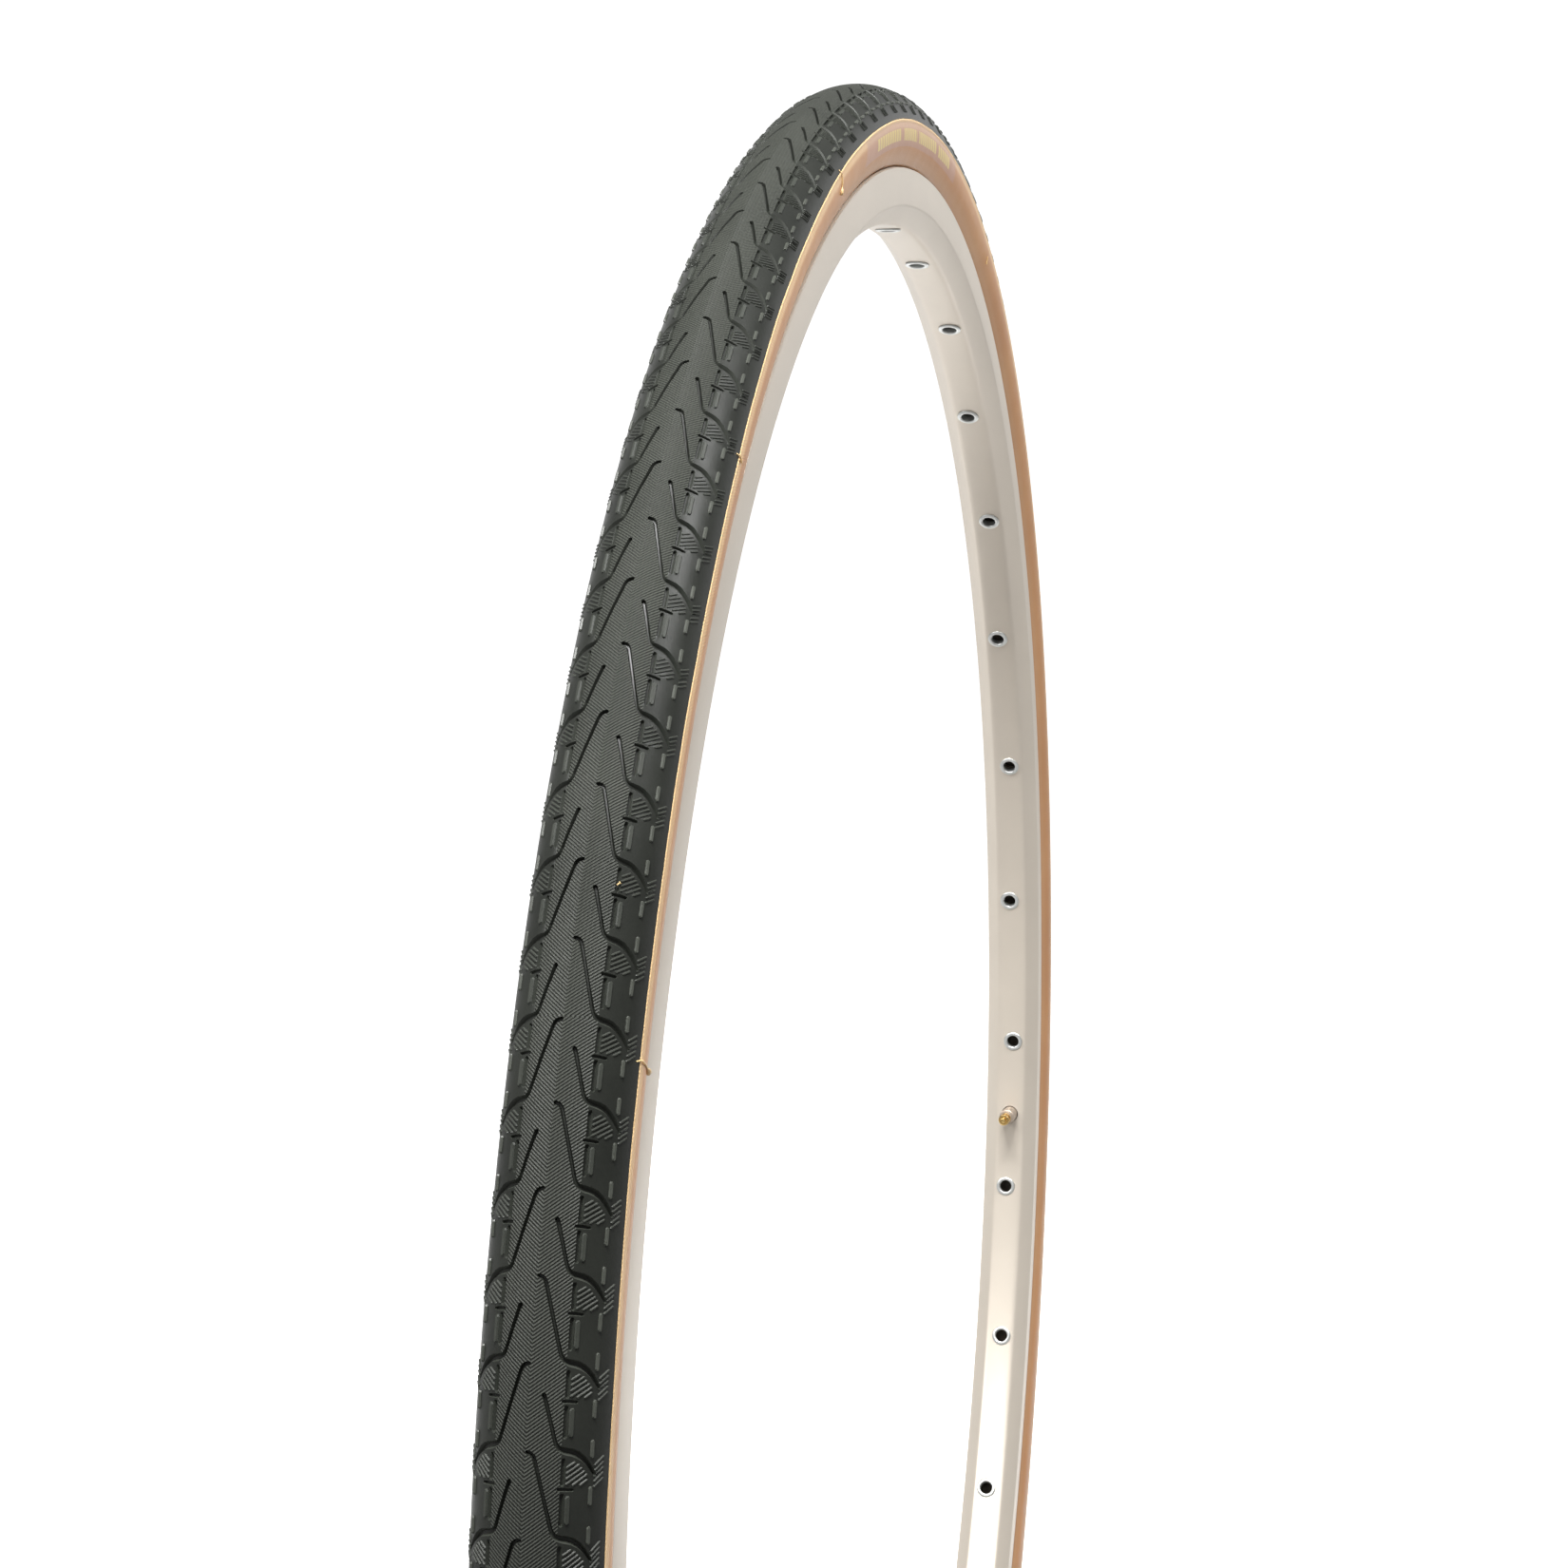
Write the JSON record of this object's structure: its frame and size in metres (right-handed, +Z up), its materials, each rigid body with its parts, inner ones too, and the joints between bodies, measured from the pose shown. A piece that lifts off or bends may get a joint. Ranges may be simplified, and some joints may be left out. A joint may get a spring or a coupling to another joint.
{
  "type": "bicycle tire",
  "caption": "Narrow road tyre with black patterned tread and tan sidewalls, mounted with its tube and valve on a silver eyeleted rim, without spokes or hub.",
  "frame": {"origin": "centre of the wheel, on its axle line, midway between the two sides", "axes": "+Y along the axle from the side the picture shows towards the hidden side; +Z up with the wheel standing upright; +X horizontal, towards the valve"},
  "size_m": [0.678, 0.0262, 0.678],
  "materials": {
    "tread": "moulded black tread rubber with fine ribs and grooves",
    "skin": "tan rubberised cord skin",
    "casing": "rubberised cord casing",
    "bead_wire": "bead wire",
    "tube": "butyl tube rubber",
    "rim_tape": "rim tape",
    "rim": "satin silver aluminium",
    "eyelet": "bright plated steel",
    "stem": "nickel-plated brass",
    "valve_brass": "bare brass"
  },
  "bodies": {
    "wheel": {"tread": "tread", "casing": "casing", "sidewall_left": "skin", "sidewall_right": "skin", "bead_core_left": "bead_wire", "bead_core_right": "bead_wire", "inner_tube": "tube", "valve_patch": "tube", "rim_tape": "rim_tape", "rim": "rim", "valve_stem": "stem", "valve_core": "valve_brass", "eyelet_01": "eyelet", "eyelet_02": "eyelet", "eyelet_03": "eyelet", "eyelet_04": "eyelet", "eyelet_05": "eyelet", "eyelet_06": "eyelet", "eyelet_07": "eyelet", "eyelet_08": "eyelet", "eyelet_09": "eyelet", "eyelet_10": "eyelet", "eyelet_11": "eyelet", "eyelet_12": "eyelet", "eyelet_13": "eyelet", "eyelet_14": "eyelet", "eyelet_15": "eyelet", "eyelet_16": "eyelet", "eyelet_17": "eyelet", "eyelet_18": "eyelet", "eyelet_19": "eyelet", "eyelet_20": "eyelet", "eyelet_21": "eyelet", "eyelet_22": "eyelet", "eyelet_23": "eyelet", "eyelet_24": "eyelet", "eyelet_25": "eyelet", "eyelet_26": "eyelet", "eyelet_27": "eyelet", "eyelet_28": "eyelet", "eyelet_29": "eyelet", "eyelet_30": "eyelet", "eyelet_31": "eyelet", "eyelet_32": "eyelet"},
    "pin": {"valve_pin": "valve_brass"},
    "lock_nut": {"valve_lock_nut": "valve_brass"}
  },
  "joints": [
    {"name": "pin_press", "type": "slide", "parent": "wheel", "child": "pin", "axis": [0.9912, 0, -0.1327], "range_m": [0, 0.0017], "stiffness_N_per_m": 300},
    {"name": "lock_nut_turn", "type": "hinge", "parent": "pin", "child": "lock_nut", "pos_m": [0.2808, 0, -0.03759], "axis": [0.9912, 0, -0.1327], "range_deg": [-180, 180]}
  ]
}
